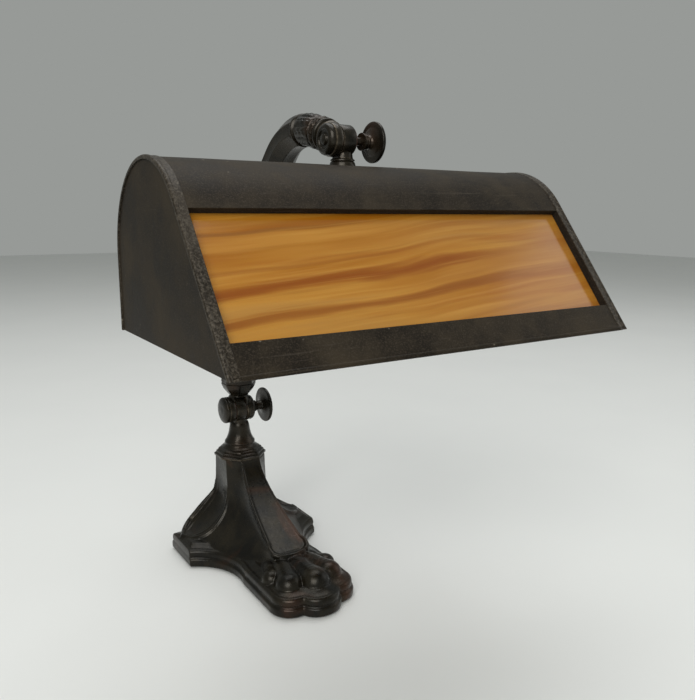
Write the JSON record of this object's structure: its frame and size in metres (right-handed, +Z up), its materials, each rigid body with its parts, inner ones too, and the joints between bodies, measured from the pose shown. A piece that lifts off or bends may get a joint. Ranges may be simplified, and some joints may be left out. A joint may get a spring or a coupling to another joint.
{
  "type": "desk lamp",
  "caption": "Desk lamp with a lion-paw base, a hinged curved arm, and a tilting trough-shaped metal shade with a slag-glass window in its sloping front.",
  "frame": {"origin": "on the table under the column's axis, at the underside of the felt pad", "axes": "+Z up; X along the shade and both hinge axes; the lamp faces -Y"},
  "size_m": [0.254, 0.3067, 0.34],
  "materials": {
    "cast_base": "dark brown-black patina, satin, worn to bronze on the high spots",
    "bronze": "dark bronze patina, satin",
    "dark_sheet": "dark bronze finish, satin, finely speckled",
    "felt": "green wool felt",
    "bushing": "black insulating bushing",
    "fibre": "red fibre washer",
    "raw_brass": "aged brass",
    "bracket_steel": "plated steel strap",
    "slag_glass": "opaque caramel slag glass with flowing streaks",
    "liner_card": "insulating card",
    "porcelain": "glazed porcelain",
    "black_key": "black moulded key",
    "bulb_metal": "bulb screw base",
    "bulb_glass": "frosted bulb glass",
    "stem_glass": "clear glass",
    "filament": "wire"
  },
  "bodies": {
    "base": {"base_casting": "cast_base", "felt_pad": "felt", "cord_bushing": "bushing", "column_neck": "bronze", "column_nipple": "raw_brass", "column_washer": "raw_brass", "column_locknut": "raw_brass"},
    "arm": {"lower_fork": "bronze", "lower_cap_nut": "bronze", "lower_friction_washers": "fibre", "arm_tube": "bronze", "arm_collar": "bronze", "collar_nipple": "raw_brass", "upper_fork": "bronze", "upper_cap_nut": "bronze", "upper_friction_washers": "fibre"},
    "lower_thumbscrew": {"lower_thumbscrew": "bronze"},
    "upper_thumbscrew": {"upper_thumbscrew": "bronze"},
    "shade": {"shade_stem": "bronze", "stem_seat": "bronze", "shade_nipple": "raw_brass", "inner_saddle": "raw_brass", "shade_locknut": "raw_brass", "shade_shell": "dark_sheet", "left_end_plate": "dark_sheet", "right_end_plate": "dark_sheet", "left_edge_bead": "dark_sheet", "right_edge_bead": "dark_sheet", "window_frame": "dark_sheet", "glass_panel": "slag_glass", "glass_clips": "raw_brass", "socket_bracket": "bracket_steel", "socket_nipple": "raw_brass", "socket_nut": "raw_brass", "socket_cap": "raw_brass", "socket_shell": "raw_brass", "socket_liner": "liner_card", "socket_body": "porcelain", "screw_shell": "raw_brass", "centre_contact": "raw_brass", "bulb_base": "bulb_metal", "bulb_glass": "bulb_glass", "bulb_stem": "stem_glass", "bulb_filament": "filament"},
    "switch_key": {"switch_key": "black_key"}
  },
  "joints": [
    {"name": "arm_tilt", "type": "hinge", "parent": "base", "child": "arm", "pos_m": [0, 0, 0.1165], "axis": [1, 0, 0], "range_deg": [-30, 25]},
    {"name": "shade_tilt", "type": "hinge", "parent": "arm", "child": "shade", "pos_m": [0, -0.1595, 0.3195], "axis": [1, 0, 0], "range_deg": [-35, 35]},
    {"name": "lower_thumbscrew_turn", "type": "hinge", "parent": "arm", "child": "lower_thumbscrew", "pos_m": [0, 0, 0.1165], "axis": [1, 0, 0], "range_deg": [0, 360]},
    {"name": "upper_thumbscrew_turn", "type": "hinge", "parent": "arm", "child": "upper_thumbscrew", "pos_m": [0, -0.1595, 0.3195], "axis": [1, 0, 0], "range_deg": [0, 360]},
    {"name": "switch_key_turn", "type": "hinge", "parent": "shade", "child": "switch_key", "pos_m": [-0.082, -0.1595, 0.236], "axis": [0, 0, 1], "continuous": true}
  ]
}
